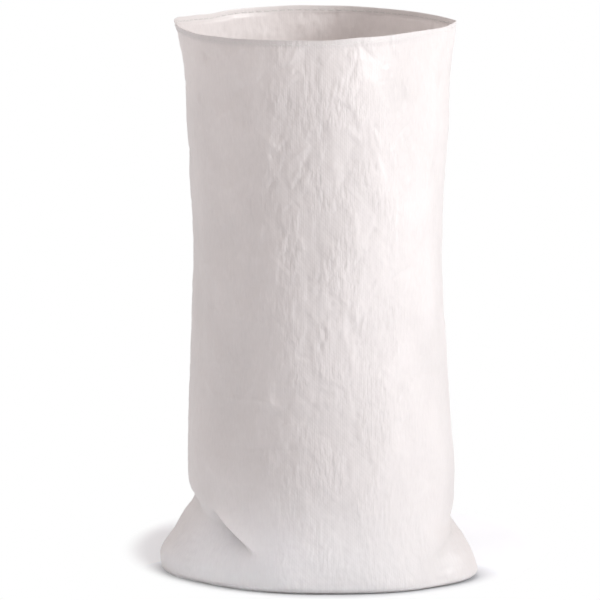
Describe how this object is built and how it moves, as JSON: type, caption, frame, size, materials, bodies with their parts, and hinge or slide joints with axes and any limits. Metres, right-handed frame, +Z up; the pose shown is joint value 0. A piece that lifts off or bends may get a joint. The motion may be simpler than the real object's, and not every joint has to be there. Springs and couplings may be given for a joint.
{
  "type": "woven sack",
  "caption": "Open-mouth woven polypropylene sack, standing open and empty, with a hemmed mouth, a sewn bottom seam and two mouth lips that fold in.",
  "frame": {"origin": "on the floor, under the middle of the sack", "axes": "+X across the sack from its left ear to its right ear, -Y out of its front, +Z up through its open mouth"},
  "size_m": [0.4746, 0.3998, 0.835],
  "materials": {
    "woven_fabric": "satin woven tape",
    "folded_fabric": "satin woven tape, doubled",
    "sewing_thread": "matte twisted thread"
  },
  "bodies": {
    "sack": {"front_wall": "woven_fabric", "back_wall": "woven_fabric", "front_skirt": "woven_fabric", "back_skirt": "woven_fabric", "left_ear": "woven_fabric", "right_ear": "woven_fabric", "left_mouth_corner": "woven_fabric", "right_mouth_corner": "woven_fabric", "left_mouth_hem": "folded_fabric", "right_mouth_hem": "folded_fabric", "left_mouth_thread": "sewing_thread", "right_mouth_thread": "sewing_thread", "base_front_panel": "woven_fabric", "base_back_panel": "woven_fabric", "bottom_seam_fold": "folded_fabric", "left_corner_tuck": "folded_fabric", "right_corner_tuck": "folded_fabric", "bottom_needle_thread": "sewing_thread", "bottom_looper_thread": "sewing_thread"},
    "front_lip": {"front_lip": "woven_fabric", "front_lip_hem": "folded_fabric", "front_lip_thread": "sewing_thread"},
    "back_lip": {"back_lip": "woven_fabric", "back_lip_hem": "folded_fabric", "back_lip_thread": "sewing_thread"}
  },
  "joints": [
    {"name": "front_lip_fold", "type": "hinge", "parent": "sack", "child": "front_lip", "pos_m": [0, -0.1549, 0.535], "axis": [-1, 0, 0], "range_deg": [0, 26], "stiffness_Nm_per_rad": 0.04},
    {"name": "back_lip_fold", "type": "hinge", "parent": "sack", "child": "back_lip", "pos_m": [0, 0.1549, 0.535], "axis": [1, 0, 0], "range_deg": [0, 26], "stiffness_Nm_per_rad": 0.04}
  ]
}
